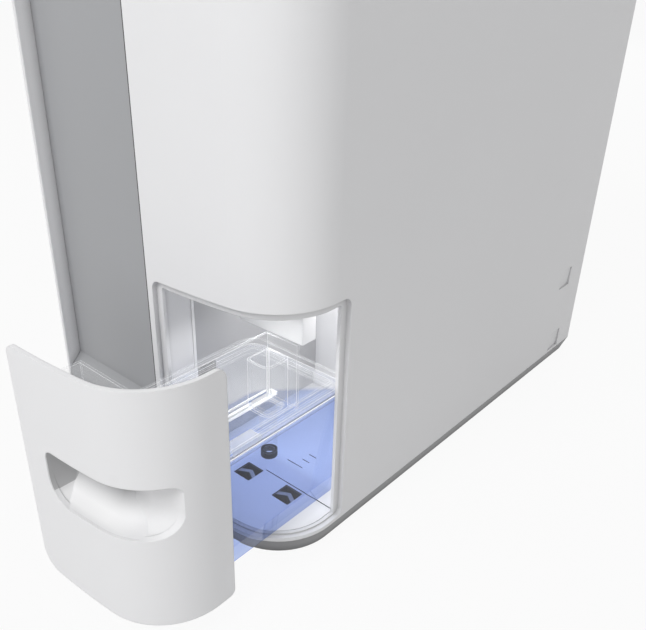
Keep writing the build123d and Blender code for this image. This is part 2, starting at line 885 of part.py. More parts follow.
# Compressor can, revolved, on a three-legged plate
dome_angle = math.sqrt(0.5)
shoulder = comp_radius - comp_dome
can = Polyline((shoulder, comp_low), (0, comp_low), (0, comp_high), (shoulder, comp_high))
can += ThreePointArc(
    (shoulder, comp_high),
    (shoulder + comp_dome * dome_angle, comp_high - comp_dome + comp_dome * dome_angle),
    (comp_radius, comp_high - comp_dome),
)
can += Line((comp_radius, comp_high - comp_dome), (comp_radius, comp_low + comp_dome))
can += ThreePointArc(
    (comp_radius, comp_low + comp_dome),
    (shoulder + comp_dome * dome_angle, comp_low + comp_dome - comp_dome * dome_angle),
    (shoulder, comp_low),
)
can_face = make_face(can.edges())
compressor = Pos(comp_x, comp_y, 0) * revolve(Plane.XZ * can_face, Axis.Z)
weld_z = (comp_low + comp_high) / 2
compressor += Pos(comp_x, comp_y, weld_z) * Cylinder(comp_radius + slip, 2 * wall)
foot_low = tray_floor + grommet_height
plate_z = (foot_low, foot_low + comp_foot_thick)
plate = make_hull(
    Sketch(children=[Pos(*f) * Circle(1.5 * grommet_radius) for f in feet]).edges()
)
compressor += extrude(Pos(0, 0, plate_z[0]) * plate, amount=comp_foot_thick)
compressor += Pos(comp_x, comp_y, (plate_z[0] + comp_low + comp_dome) / 2) * Cylinder(
    comp_radius - comp_dome, comp_low + comp_dome - plate_z[0]
)
for s in (-1, 1):
    inner = (comp_x + s * (comp_radius - comp_dome), comp_y, stub_z)
    outer = (comp_x + s * (comp_radius + 2 * tube_radius), comp_y, stub_z)
    compressor += rod(inner, outer, tube_radius + slip)
for f in feet:
    compressor -= Pos(*f, foot_low) * Cylinder(grommet_radius / 3 + slip, 4 * comp_foot_thick)
save(compressor, "compressor")


def grommet(spot):
    body = Cylinder(grommet_radius, grommet_height, align=(Align.CENTER, Align.CENTER, Align.MIN))
    body = chamfer(body.edges(), edge_round)
    body -= Cylinder(grommet_radius / 3 + slip, 4 * grommet_height)
    return Pos(*spot, tray_floor) * body


save(Compound(children=[grommet(f) for f in feet]), "compressor_grommets")

# Fan shroud: half round below, straight duct above
duct_half = fan_radius + fan_gap


def duct(grow, y):
    radius = duct_half + grow
    plan = Pos(0, fan_z) * Circle(radius)
    plan += Pos(0, (fan_z + top_seam_z) / 2) * Rectangle(2 * radius, top_seam_z - fan_z)
    return Pos(0, y[1], 0) * extrude(Plane.XZ * plan, amount=y[1] - y[0])


shroud_y = (shroud_front_y, shroud_rear_y)
inner_y = (shroud_front_y + shroud_wall, shroud_rear_y - shroud_wall)
shroud = duct(shroud_wall, shroud_y) - duct(0, inner_y)
shroud -= block((-duct_half, duct_half), inner_y, (fan_z, top_seam_z + wall))
shroud -= rod((0, inner_y[1] - wall, fan_z), (0, shroud_rear_y + wall, fan_z), shroud_inlet)
shroud -= rod((0, shroud_front_y - wall, fan_z), (0, inner_y[0] + wall, fan_z), 3 * shaft_radius)
foot_x = duct_half * leg_spread
for s in (-1, 1):
    leg = block(
        (s * foot_x - 2 * shroud_wall, s * foot_x + 2 * shroud_wall),
        (shroud_front_y, dam_y - seam),
        (deck_top, fan_z - duct_half * leg_rise),
    )
    shroud += leg - duct(0, shroud_y)
save(shroud, "fan_shroud")

# Motor on the shroud's front wall
motor_y = shroud_front_y - motor_length
motor = rod((0, motor_y, fan_z), (0, shroud_front_y, fan_z), motor_radius)
motor = fillet(motor.edges().group_by(Axis.Y)[0], 4 * edge_round)
flange_y = shroud_front_y - motor_flange
motor += rod((0, flange_y, fan_z), (0, shroud_front_y, fan_z), motor_radius + 2 * motor_flange)
motor -= rod(
    (0, motor_y + 2 * motor_flange, fan_z),
    (0, shroud_front_y + wall, fan_z),
    shaft_radius + bearing_gap,
)
save(motor, "fan_motor")

# Blower wheel: hub disc, forward-leaning blades, end ring and shaft
fan_end = fan_y + fan_length
wheel = rod((0, fan_y, fan_z), (0, fan_y + 2 * blade_thick, fan_z), fan_radius)
wheel += rod((0, fan_y, fan_z), (0, fan_y + fan_length / 2, fan_z), 3 * shaft_radius)
wheel += rod((0, motor_y + 3 * motor_flange, fan_z), (0, fan_y + blade_thick, fan_z), shaft_radius)
end_ring = rod((0, fan_end - blade_thick, fan_z), (0, fan_end, fan_z), fan_radius)
ring_bore = fan_radius - blade_length / 2
end_ring -= rod((0, fan_end - 2 * blade_thick, fan_z), (0, fan_end + wall, fan_z), ring_bore)
blades = []
for i in range(blade_count):
    angle = 360.0 * i / blade_count
    blade = Box(blade_thick, fan_length - blade_thick, blade_length)
    blade = Pos(0, fan_y + fan_length / 2, fan_z) * Rot(0, angle, 0) * Pos(
        0, 0, fan_radius - blade_length / 2 - blade_thick
    ) * Rot(0, blade_lean, 0) * blade
    blades.append(blade)
wheel += end_ring
wheel += blades
save(wheel, "fan_wheel")

# Electronics beside the bay
box_x = (-half + 2 * wall + seam, -half + 2 * wall + case_width)
box_y = (front_y + case_front, front_y + case_front + case_length)
box_z = (tray_floor, case_top)
case = fillet(block(box_x, box_y, box_z).edges().filter_by(Axis.Z), case_round)
case_in = [(a + wall, b - wall) for a, b in (box_x, box_y)]
case -= block(case_in[0], case_in[1], (box_z[0] + wall, box_z[1]))
save(case, "electronics_box")
can_x = box_x[0] + can_offset[0]
can_y = box_y[0] + can_offset[1]
can_low = box_z[0] + wall
capacitor = rod((can_x, can_y, can_low), (can_x, can_y, can_low + can_height), can_radius)
capacitor = fillet(capacitor.edges().group_by(Axis.Z)[-1], 2 * edge_round)
save(capacitor, "run_capacitor")

# Top cover
top_z = (top_seam_z, height)
plate_low = height - top_plate
lid_top = prism(0, top_z)
rim_edges = lid_top.edges().group_by(Axis.Z)[-1]
cover = fillet(rim_edges, top_round)
cover -= fillet(prism(wall, (top_seam_z - wall, plate_low)).edges().group_by(Axis.Z)[-1], top_round - wall)
outlet = block((-outlet_x, outlet_x), outlet_y, (top_seam_z, height + wall))
cover -= fillet(outlet.edges().filter_by(Axis.Z), 2 * edge_round)
recess = block((-control_x, control_x), control_y, (height - control_recess, height + wall))
cover -= fillet(recess.edges().filter_by(Axis.Z), 4 * edge_round)
cover -= [Pos(x, button_y, height) * Cylinder(button_radius + button_gap, 4 * top_plate) for x in button_x]
board_top = plate_low - board_drop
post_y = (control_y[0] + post_front, control_y[1] - post_rear)
post_spots = [(s * (control_x - post_inset), y) for s in (-1, 1) for y in post_y]
for x, y in post_spots:
    cover += rod((x, y, board_top), (x, y, plate_low + edge_round), post_radius)
axis_y = outlet_y[1] - 2 * louvre_knuckle
axis_z = height - louvre_axis_drop
cheek_end = outlet_x + 3 * louvre_knuckle
for s in (-1, 1):
    cheek_x = sorted((s * outlet_x, s * cheek_end))
    cover += block(
        cheek_x,
        (axis_y - louvre_knuckle, axis_y + louvre_knuckle),
        (axis_z - louvre_knuckle, plate_low + edge_round),
    )
    cover -= rod(
        (s * (outlet_x - wall), axis_y, axis_z),
        (s * (cheek_end - wall), axis_y, axis_z),
        louvre_pin + bearing_gap,
    )
save(cover, "top_cover")

# Outlet louvre, hinged on pins at its rear edge
louvre_half = outlet_x - louvre_gap
louvre_z = (height - louvre_thick - slip, height - slip)
louvre = block((-louvre_half, louvre_half), (outlet_y[0] + louvre_gap, axis_y), louvre_z)
louvre = fillet(louvre.edges().filter_by(Axis.Z).group_by(Axis.Y)[0], 2 * edge_round)
rib_half = louvre_half - rib_margin
rib_z = (louvre_z[0] - rib_depth, louvre_z[0] + edge_round)
for i in range(rib_count):
    y = outlet_y[0] + rib_start + rib_pitch * i
    louvre += block((-rib_half, rib_half), (y, y + rib_thick), rib_z)
louvre += rod((-louvre_half, axis_y, axis_z), (louvre_half, axis_y, axis_z), louvre_knuckle)
neck_z = (axis_z, louvre_z[1])
louvre += block((-louvre_half, louvre_half), (axis_y - louvre_knuckle, axis_y), neck_z)
pin_end = cheek_end - wall - slip
louvre += rod((-pin_end, axis_y, axis_z), (pin_end, axis_y, axis_z), louvre_pin)
save(louvre, "outlet_louvre")

# Control fascia with display window, buttons and board
fascia_z = (height - control_recess, height - bearing_gap)
fascia_x = (-control_x + control_gap, control_x - control_gap)
fascia_y = (control_y[0] + control_gap, control_y[1] - control_gap)
fascia = fillet(block(fascia_x, fascia_y, fascia_z).edges().filter_by(Axis.Z), 4 * edge_round - control_gap)
fascia -= [Pos(x, button_y, height) * Cylinder(button_radius + button_gap, 4 * top_plate) for x in button_x]
window = fillet(block((-display_x, display_x), display_y, fascia_z).edges().filter_by(Axis.Z), edge_round)
fascia -= window
save(fascia, "control_fascia")
lens_x = display_x - control_gap
lens_y = (display_y[0] + control_gap, display_y[1] - control_gap)
lens = block((-lens_x, lens_x), lens_y, fascia_z)
save(fillet(lens.edges().filter_by(Axis.Z), edge_round), "display_lens")

flange_z = (plate_low - seam - button_flange_thick, plate_low - seam)
for x, name in zip(button_x, ("power_button", "mode_button", "humidity_button", "timer_button")):
    cap = rod((x, button_y, flange_z[0]), (x, button_y, height + button_proud), button_radius)
    cap = fillet(cap.edges().group_by(Axis.Z)[-1], edge_round)
    cap += rod((x, button_y, flange_z[0]), (x, button_y, flange_z[1]), button_flange)
    save(cap, name)

board = block(
    (-control_x + board_margin, control_x - board_margin),
    (control_y[0] + board_thick, control_y[1]),
    (board_top - board_thick, board_top),
)
switch_top = flange_z[0] - button_travel - slip
for x in button_x:
    tact_y = (button_y - tact_half, button_y + tact_half)
    board += block((x - tact_half, x + tact_half), tact_y, (board_top, switch_top))
module_half = display_x - module_margin
module_y = (display_y[0] + module_margin / 2, display_y[1] - module_margin / 2)
board += block((-module_half, module_half), module_y, (board_top, plate_low - module_margin / 2))
save(board, "control_board")

# Rear cover held behind the shell returns
cover_z = (plinth_height, top_seam_z)
rear = block((-rear_half, rear_half), (inside_rear, rear_y), cover_z)
rear += block(
    (-rear_half - rear_flange, rear_half + rear_flange),
    (inside_rear - wall, inside_rear),
    (plinth_height + 2 * wall, top_seam_z - wall),
)
window = block((-intake_x, intake_x), (inside_rear - 2 * wall, reach), intake_z)
rear -= fillet(window.edges().filter_by(Axis.Y), 4 * edge_round)
filter_z = (intake_z[0] - wall, intake_z[1])
rear -= block((-intake_x - wall, intake_x + wall), (0, inside_rear - wall / 2), filter_z)
vent_zone = block((-half, half), (inside_rear - 2 * wall, reach), cover_z)
for row in range(vent_rows):
    for x in vent_x:
        vent = Plane.XZ * Pos(x, vent_low + row * vent_pitch) * SlotOverall(vent_length, vent_height)
        rear -= extrude(vent, amount=reach, both=True) & vent_zone
for x, z in screw_spots:
    rear -= rod((x, inside_rear - 2 * wall, z), (x, rear_y + wall, z), screw_shank + bearing_gap)


def cord_rod(start, end, radius):
    return rod((cord_x, start, cord_z), (cord_x, end, cord_z), radius)


rear -= cord_rod(0, reach, cord_hole + seam)
save(rear, "rear_cover")
cord = cord_rod(inside_rear - 3 * wall, rear_y, cord_hole)
cord += cord_rod(rear_y, rear_y + screw_shank, cord_hole + wall)
save(cord - cord_rod(0, reach, cord_hole / 2), "cord_inlet")

# Intake grille with the air filter on its back
grille_half = intake_x - intake_gap
grille_z = (intake_z[0] + intake_gap, intake_z[1] - intake_gap)
grille_y = (inside_rear - wall / 2, rear_y)
grille = block((-grille_half, grille_half), grille_y, grille_z)
grille = fillet(grille.edges().filter_by(Axis.Y), 4 * edge_round - intake_gap)
open_x = (-grille_half + grille_frame, grille_half - grille_frame)
open_z = (grille_z[0] + grille_frame, grille_z[1] - grille_frame)
grille -= block(open_x, (0, reach), open_z)
bar_pitch = (open_z[1] - open_z[0]) / (grille_bars + 1)
for i in range(grille_bars):
    z = open_z[0] + (i + 1) * bar_pitch
    bar = Rot(grille_lean, 0, 0) * Box(open_x[1] - open_x[0] + wall, grille_blade, 2 * grille_bar)
    grille += Pos(0, (grille_y[0] + grille_y[1]) / 2, z) * bar & block((-half, half), grille_y, grille_z)
grille += block((-grille_bar / 2, grille_bar / 2), (grille_y[0], grille_y[0] + grille_blade), open_z)
notch = Pos(0, rear_y, grille_z[1] - grille_frame / 2) * Box(notch_width, wall, grille_frame / 2)
grille -= fillet(notch.edges().filter_by(Axis.Y), edge_round)
save(grille, "intake_grille")
filter_y = (grille_y[0] - filter_thick, grille_y[0])
frame_z = (grille_z[0] + seam, grille_z[1] - seam)
filter_frame = block((-grille_half + seam, grille_half - seam), filter_y, frame_z)
cell_w = (open_x[1] - open_x[0] - (cell_columns - 1) * grille_bar) / cell_columns
cell_h = (open_z[1] - open_z[0] - (cell_rows - 1) * grille_bar) / cell_rows
for c in range(cell_columns):
    for r in range(cell_rows):
        x0 = open_x[0] + c * (cell_w + grille_bar)
        z0 = open_z[0] + r * (cell_h + grille_bar)
        skin_y = filter_y[0] + filter_skin
        filter_frame -= block((x0, x0 + cell_w), (skin_y, reach), (z0, z0 + cell_h))
save(filter_frame, "air_filter")
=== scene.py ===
import math

import bpy
from mathutils import Matrix, Vector


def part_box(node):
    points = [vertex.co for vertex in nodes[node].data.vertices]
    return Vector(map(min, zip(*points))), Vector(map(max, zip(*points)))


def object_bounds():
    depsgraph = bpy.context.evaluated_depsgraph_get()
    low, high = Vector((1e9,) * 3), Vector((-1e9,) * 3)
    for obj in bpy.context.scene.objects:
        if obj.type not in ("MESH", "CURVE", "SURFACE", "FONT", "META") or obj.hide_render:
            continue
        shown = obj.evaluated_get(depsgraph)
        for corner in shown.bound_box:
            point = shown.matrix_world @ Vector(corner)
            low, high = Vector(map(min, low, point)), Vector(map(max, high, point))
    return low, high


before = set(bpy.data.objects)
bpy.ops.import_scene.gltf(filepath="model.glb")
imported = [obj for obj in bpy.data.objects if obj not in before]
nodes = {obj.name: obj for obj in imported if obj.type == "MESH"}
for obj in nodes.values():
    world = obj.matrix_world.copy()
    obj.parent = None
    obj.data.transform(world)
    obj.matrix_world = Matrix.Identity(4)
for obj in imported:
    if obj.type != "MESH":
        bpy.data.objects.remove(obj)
cadBox = [list(corner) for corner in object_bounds()]
bpy.ops.object.select_all(action="DESELECT")
print("frame loaded with", len(nodes), "nodes")


# small helpers for shader nodes
def addNode(tree, kind, **values):
    node = tree.nodes.new(kind)
    for key, value in values.items():
        if key in node.inputs:
            node.inputs[key].default_value = value
        else:
            setattr(node, key, value)
    return node


def mathNode(tree, operation, first, second=0.0, clamp=False):
    node = tree.nodes.new("ShaderNodeMath")
    node.operation = operation
    node.use_clamp = clamp
    for slot, value in ((0, first), (1, second)):
        if isinstance(value, (int, float)):
            node.inputs[slot].default_value = value
        else:
            tree.links.new(value, node.inputs[slot])
    return node.outputs[0]


# how far first lies past second, from nought to one over the span
def ramp(tree, first, second, span):
    return mathNode(tree, "DIVIDE", mathNode(tree, "SUBTRACT", first, second), span, clamp=True)


def mixColour(tree, factor, first, second):
    node = tree.nodes.new("ShaderNodeMix")
    node.data_type = "RGBA"
    tree.links.new(factor, node.inputs["Factor"])
    for label, value in (("A", first), ("B", second)):
        socket = [s for s in node.inputs if s.name == label and s.type == "RGBA"][0]
        if isinstance(value, (tuple, list)):
            socket.default_value = (*value, 1.0)
        else:
            tree.links.new(value, socket)
    return [s for s in node.outputs if s.type == "RGBA"][0]


def between(tree, value, limits):
    node = tree.nodes.new("ShaderNodeMapRange")
    node.inputs["To Min"].default_value, node.inputs["To Max"].default_value = limits
    tree.links.new(value, node.inputs["Value"])
    return node.outputs["Result"]


def newGroup(name, inputs, outputs):
    tree = bpy.data.node_groups.new(name, "ShaderNodeTree")
    for label, kind, value in inputs:
        socket = tree.interface.new_socket(label, in_out="INPUT", socket_type=kind)
        if value is not None:
            socket.default_value = value
    for label, kind in outputs:
        tree.interface.new_socket(label, in_out="OUTPUT", socket_type=kind)
    return tree, tree.nodes.new("NodeGroupInput"), tree.nodes.new("NodeGroupOutput")


# moulded grain: a fine sparked texture, and slow flow marks over the whole moulding
grainLook = {"fineDetail": 3.0, "fineRough": 0.6, "slowDetail": 2.0, "slowRough": 0.5}
mouldedGrain, gIn, gOut = newGroup(
    "mouldedGrain",
    [
        ("Vector", "NodeSocketVector", None),
        ("Grain", "NodeSocketFloat", 2400.0),
        ("Flow", "NodeSocketFloat", 7.0),
    ],
    [("Height", "NodeSocketFloat"), ("Flow", "NodeSocketFloat")],
)
fine = addNode(
    mouldedGrain, "ShaderNodeTexNoise",
    Detail=grainLook["fineDetail"], Roughness=grainLook["fineRough"],
)
slow = addNode(
    mouldedGrain, "ShaderNodeTexNoise",
    Detail=grainLook["slowDetail"], Roughness=grainLook["slowRough"],
)
for texture, scale, result in ((fine, "Grain", "Height"), (slow, "Flow", "Flow")):
    mouldedGrain.links.new(gIn.outputs["Vector"], texture.inputs["Vector"])
    mouldedGrain.links.new(gIn.outputs[scale], texture.inputs["Scale"])
    mouldedGrain.links.new(texture.outputs["Fac"], gOut.inputs[result])

# edge mask: where a rounded normal leaves the flat one, so handled edges polish and pale a little; on
# the tank's walls it also places painted shade, painted highlight and painted glow
edgeLook = {"samples": 6, "gain": 3.0}
edgeMask, eIn, eOut = newGroup(
    "edgeMask",
    [("Radius", "NodeSocketFloat", 0.0008)],
    [("Mask", "NodeSocketFloat"), ("Normal", "NodeSocketVector")],
)
bevel = addNode(edgeMask, "ShaderNodeBevel", samples=edgeLook["samples"])
edgeMask.links.new(eIn.outputs["Radius"], bevel.inputs["Radius"])
flatNormal = edgeMask.nodes.new("ShaderNodeNewGeometry")
turned = addNode(edgeMask, "ShaderNodeVectorMath", operation="DOT_PRODUCT")
edgeMask.links.new(bevel.outputs["Normal"], turned.inputs[0])
edgeMask.links.new(flatNormal.outputs["Normal"], turned.inputs[1])
leaning = mathNode(edgeMask, "SUBTRACT", 1.0, turned.outputs["Value"])
edgeShare = mathNode(edgeMask, "MULTIPLY", leaning, edgeLook["gain"], clamp=True)
edgeMask.links.new(edgeShare, eOut.inputs["Mask"])
edgeMask.links.new(bevel.outputs["Normal"], eOut.inputs["Normal"])

# crevice shade mask: where near walls close the point in, as in grooves and inner corners; the
# materials paint shade there
creviceLook = {"samples": 6, "gain": 1.4}
creviceShadeMask, cIn, cOut = newGroup(
    "creviceShadeMask",
    [("Distance", "NodeSocketFloat", 0.006), ("Sharp", "NodeSocketFloat", 1.0)],
    [("Mask", "NodeSocketFloat")],
)
closed = addNode(creviceShadeMask, "ShaderNodeAmbientOcclusion", samples=creviceLook["samples"])
creviceShadeMask.links.new(cIn.outputs["Distance"], closed.inputs["Distance"])
hidden = mathNode(creviceShadeMask, "SUBTRACT", 1.0, closed.outputs["AO"])
deep = mathNode(creviceShadeMask, "MULTIPLY", hidden, creviceLook["gain"], clamp=True)
sharpened = mathNode(creviceShadeMask, "POWER", deep, cIn.outputs["Sharp"])
creviceShadeMask.links.new(sharpened, cOut.inputs["Mask"])
print("effect groups ready")


# materials, one maker for each kind of finish
def startMaterial(name):
    material = bpy.data.materials.new(name)
    material.use_nodes = True
    tree = material.node_tree
    shader = tree.nodes["Principled BSDF"]
    coords = tree.nodes.new("ShaderNodeTexCoord").outputs["Object"]
    return material, tree, shader, coords


def placeGroup(tree, group, **values):
    node = tree.nodes.new("ShaderNodeGroup")
    node.node_tree = group
    for key, value in values.items():
        node.inputs[key].default_value = value
    return node


# grain, edges and the colour that flows between two tones
def grained(tree, coords, look):
    grain = placeGroup(tree, mouldedGrain, Grain=look["grain"], Flow=look["flow"])
    tree.links.new(coords, grain.inputs["Vector"])
    edge = placeGroup(tree, edgeMask, Radius=look["edge"])
    tone = mixColour(tree, grain.outputs["Flow"], look["shade"], look["colour"])
    return grain, edge, tone


def bumpOn(tree, shader, height, strength, depth, normal=None):
    bump = addNode(tree, "ShaderNodeBump", Strength=strength, Distance=depth)
    tree.links.new(height, bump.inputs["Height"])
    if normal is not None:
        tree.links.new(normal, bump.inputs["Normal"])
    tree.links.new(bump.outputs["Normal"], shader.inputs["Normal"])


def axesOf(tree, coords):
    apart = tree.nodes.new("ShaderNodeSeparateXYZ")
    tree.links.new(coords, apart.inputs[0])
    return [apart.outputs[axis] for axis in "XYZ"]


# one where the point lies in a spot, a box measured from the lowest corner of the piece it is on
def spotMask(tree, coords, spot):
    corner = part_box(spot["on"])[0]
    mask = None
    for place, start, low, high in zip(axesOf(tree, coords), corner, spot["low"], spot["high"]):
        above = mathNode(tree, "GREATER_THAN", place, start + low)
        below = mathNode(tree, "LESS_THAN", place, start + high)
        inside = mathNode(tree, "MULTIPLY", above, below)
        mask = inside if mask is None else mathNode(tree, "MULTIPLY", mask, inside)
    return mask


# where a point lies in the handle's scoop, behind the bowed front, and how near the scoop's top, for
# the light and shade painted there
def handleShade(tree, coords, handle):
    across, along, up = axesOf(tree, coords)
    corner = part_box(handle["on"])[0]
    bowY = corner.y + math.sqrt(handle["bowRadius"] ** 2 - corner.x ** 2)  # the bow's axis is at X 0
    back = mathNode(tree, "SUBTRACT", along, bowY)
    acrossSquare = mathNode(tree, "MULTIPLY", across, across)
    backSquare = mathNode(tree, "MULTIPLY", back, back)
    square = mathNode(tree, "ADD", acrossSquare, backSquare)
    reach = mathNode(tree, "SQRT", square)
    scoop = ramp(tree, handle["bowRadius"] - handle["skin"], reach, handle["soft"])
    left = ramp(tree, corner.x + handle["right"], across, handle["fade"])
    below = mathNode(tree, "LESS_THAN", up, corner.z + handle["top"])
    above = mathNode(tree, "GREATER_THAN", up, corner.z + handle["foot"])
    for part in (left, below, above):
        scoop = mathNode(tree, "MULTIPLY", scoop, part)
    high = ramp(tree, up, corner.z + handle["low"], handle["rise"])
    return scoop, mathNode(tree, "MULTIPLY", scoop, high)


# depths are in metres; polish is how much smoother a worn edge is
finish = {"fineDepth": 0.0002, "slowDepth": 0.0004, "polish": 0.2, "ior": 1.46, "sheen": 0.5}


def moulded(look):
    material, tree, shader, coords = startMaterial(look["name"])
    grain, edge, tone = grained(tree, coords, look)
    worn = mathNode(tree, "MULTIPLY", edge.outputs["Mask"], look["wear"])
    tone = mixColour(tree, worn, tone, look["pale"])
    # painted shade in crevices, grooves and recesses, towards the dim colour
    crevice = placeGroup(
        tree, creviceShadeMask, Distance=look["reach"], Sharp=look.get("sharp", 1.0)
    )
    paintedCreviceShade = mathNode(tree, "MULTIPLY", crevice.outputs["Mask"], look["dull"])
    tone = mixColour(tree, paintedCreviceShade, tone, look["dim"])
    # painted light on the scoop's floor, painted shade towards its top
    if "handle" in look:
        scoop, shade = handleShade(tree, coords, look["handle"])
        tone = mixColour(tree, scoop, tone, look["handle"]["light"])
        tone = mixColour(tree, shade, tone, look["handle"]["dark"])
    # spots of painted shade
    for spot in look.get("shadowed", []):
        tone = mixColour(tree, spotMask(tree, coords, spot), tone, spot["colour"])
    tree.links.new(tone, shader.inputs["Base Color"])
    rough = between(tree, grain.outputs["Height"], look["rough"])
    polish = mathNode(tree, "MULTIPLY", worn, finish["polish"])
    tree.links.new(mathNode(tree, "SUBTRACT", rough, polish), shader.inputs["Roughness"])
    bumpOn(
        tree, shader, grain.outputs["Height"], look["bump"], finish["fineDepth"],
        edge.outputs["Normal"],
    )
    shader.inputs["IOR"].default_value = finish["ior"]
    shader.inputs["Specular IOR Level"].default_value = look.get("sheen", finish["sheen"])
    return material


# tinted wall: the eye sees the tint, lamps and bounced light reach what is behind
def tintedWall(look):
    material, tree, shader, coords = startMaterial(look["name"])
    grain, edge, tone = grained(tree, coords, look)
    across, _, up = axesOf(tree, coords)
    line = look["tintLine"]
    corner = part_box(line["on"])[0]
    start = corner.z + line["low"] - corner.x * line["rise"]  # height of the line at X 0
    lineUp = mathNode(tree, "ADD", mathNode(tree, "MULTIPLY", across, line["rise"]), start)
    below = ramp(tree, lineUp, up, line["soft"])
    tone = mixColour(tree, below, look["clear"], tone)
    # edges painted a darker blue, as shade
    tone = mixColour(tree, edge.outputs["Mask"], tone, look["pale"])
    # painted lines of shade on the walls
    for spot in look["lines"]:
        tone = mixColour(tree, spotMask(tree, coords, spot), tone, spot["colour"])
    tree.links.new(tone, shader.inputs["Base Color"])
    smooth = between(tree, grain.outputs["Flow"], look["rough"])
    frost = mathNode(tree, "MULTIPLY", edge.outputs["Mask"], look["frost"])  # edges scatter light
    tree.links.new(mathNode(tree, "ADD", smooth, frost), shader.inputs["Roughness"])
    bumpOn(tree, shader, grain.outputs["Flow"], look["bump"], finish["slowDepth"])
    shader.inputs["Transmission Weight"].default_value = 1.0
    shader.inputs["IOR"].default_value = look["ior"]
    shader.inputs["Coat Weight"].default_value = look["coat"]
    lampSide = addNode(tree, "ShaderNodeBsdfTransparent", Color=(*look["lamp"], 1.0))
    path = tree.nodes.new("ShaderNodeLightPath")
    either = tree.nodes.new("ShaderNodeMixShader")
    tree.links.new(path.outputs["Is Camera Ray"], either.inputs[0])
    tree.links.new(lampSide.outputs[0], either.inputs[1])
    tree.links.new(shader.outputs[0], either.inputs[2])
    tree.links.new(either.outputs[0], tree.nodes["Material Output"].inputs["Surface"])
    return material


# thin clear moulding: faces are a faint veil; edges show a painted white highlight, glancing walls a
# painted white reflection
def clearWall(look):
    material, tree, shader, coords = startMaterial(look["name"])
    grain, edge, tone = grained(tree, coords, look)
    veil = between(tree, grain.outputs["Flow"], look["veil"])
    # edges painted white and nearly opaque, as highlights
    rim = mathNode(tree, "MULTIPLY", edge.outputs["Mask"], look["rim"])
    # walls at a glancing angle painted whiter, as reflection
    glance = addNode(tree, "ShaderNodeLayerWeight", Blend=look["glance"]["blend"])
    slant = mathNode(tree, "MULTIPLY", glance.outputs["Facing"], look["glance"]["share"])
    solid = mathNode(tree, "ADD", mathNode(tree, "ADD", veil, rim), slant, clamp=True)
    for spot in look["frosted"]:
        cloud = mathNode(tree, "MULTIPLY", spotMask(tree, coords, spot), spot["solid"])
        solid = mathNode(tree, "MAXIMUM", solid, cloud)
    # painted glow on the edges, standing in for light piped through the plastic
    paintedGlow = mixColour(tree, edge.outputs["Mask"], (0.0, 0.0, 0.0), look["paintedEdgeGlow"])
    # painted lines: dark lines of shade, and highlight lines with a painted glow
    for spot in look["lines"]:
        strip = spotMask(tree, coords, spot)
        tone = mixColour(tree, strip, tone, spot["colour"])
        paintedGlow = mixColour(tree, strip, paintedGlow, spot["paintedGlow"])
        solid = mathNode(tree, "MAXIMUM", solid, mathNode(tree, "MULTIPLY", strip, spot["solid"]))
    tree.links.new(tone, shader.inputs["Base Color"])
    tree.links.new(solid, shader.inputs["Alpha"])
    tree.links.new(paintedGlow, shader.inputs["Emission Color"])
    shader.inputs["Emission Strength"].default_value = 1.0
    smooth = between(tree, grain.outputs["Flow"], look["rough"])
    tree.links.new(smooth, shader.inputs["Roughness"])
    bumpOn(
        tree, shader, grain.outputs["Flow"], look["bump"], finish["slowDepth"],
        edge.outputs["Normal"],
    )
    return material


def paint(material, *names):
    for name in names:
        for slot in nodes[name].material_slots:
            slot.material = material


# lengths are in metres; low and high of a spot are two corners, from the lowest corner of its piece
whiteHousing = {
    "name": "whiteHousing",
    "colour": (0.80, 0.80, 0.81), "shade": (0.775, 0.775, 0.785), "pale": (0.86, 0.86, 0.865),
    "rough": (0.36, 0.46), "grain": 2600.0, "flow": 6.0, "bump": 0.05,
    "edge": 0.0008, "wear": 0.5, "sheen": 0.2,
    # dim, reach and dull set the shade painted into crevices: its colour, how far walls close it in,
    # how strong
    "dim": (0.42, 0.42, 0.43), "reach": 0.007, "dull": 0.9,
    "shadowed": [
        {  # painted shadow in the gap beside the grey panel
            "on": "right_shell", "colour": (0.06, 0.06, 0.06),
            "low": (-0.0001, -0.0006, 0.0), "high": (0.0008, 0.0003, 0.4898),
        },
    ],
}
paint(moulded(whiteHousing), "right_shell", "left_shell", "rear_cover", "intake_grille")

topMatt = dict(
    whiteHousing, name="topMatt", rough=(0.5, 0.62), sheen=0.05, bump=0.08, shadowed=[]
)
paint(moulded(topMatt), "top_cover", "outlet_louvre")

# a longer reach paints shade deep into the handle's scoop
tankFront = dict(
    whiteHousing, name="tankFront", dim=(0.34, 0.34, 0.35), reach=0.020, sharp=1.6, dull=0.7
)
tankFront["shadowed"] = [
    {  # painted shade on the end wall of the scoop
        "on": "tank_panel", "colour": (0.455, 0.455, 0.46),
        "low": (0.0201, 0.0014, 0.0675), "high": (0.0239, 0.0244, 0.0970),
    },
]
tankFront["handle"] = {  # painted light at the scoop's foot, and painted shade that deepens towards its top
    "on": "tank_panel", "bowRadius": 0.520, "skin": 0.001, "soft": 0.004,
    "low": 0.0655, "rise": 0.012, "top": 0.1035, "foot": 0.058, "right": 0.0781, "fade": 0.018,
    "dark": (0.37, 0.37, 0.38), "light": (0.88, 0.88, 0.885),
}
paint(moulded(tankFront), "tank_panel")

greyFront = {
    "name": "greyFront",
    "colour": (0.36, 0.365, 0.38), "shade": (0.34, 0.345, 0.355), "pale": (0.45, 0.45, 0.46),
    "rough": (0.34, 0.44), "grain": 3200.0, "flow": 5.0, "bump": 0.04,
    "edge": 0.0007, "wear": 0.5,
    "dim": (0.16, 0.16, 0.17), "reach": 0.008, "dull": 0.8,
}
paint(moulded(greyFront), "front_panel")

plinthGrey = {
    "name": "plinthGrey",
    "colour": (0.30, 0.30, 0.305), "shade": (0.27, 0.27, 0.275), "pale": (0.40, 0.40, 0.40),
    "rough": (0.45, 0.6), "grain": 2000.0, "flow": 9.0, "bump": 0.08,
    "edge": 0.0008, "wear": 0.5,
    "dim": (0.12, 0.12, 0.12), "reach": 0.006, "dull": 0.8,
}
paint(moulded(plinthGrey), "base_tray")

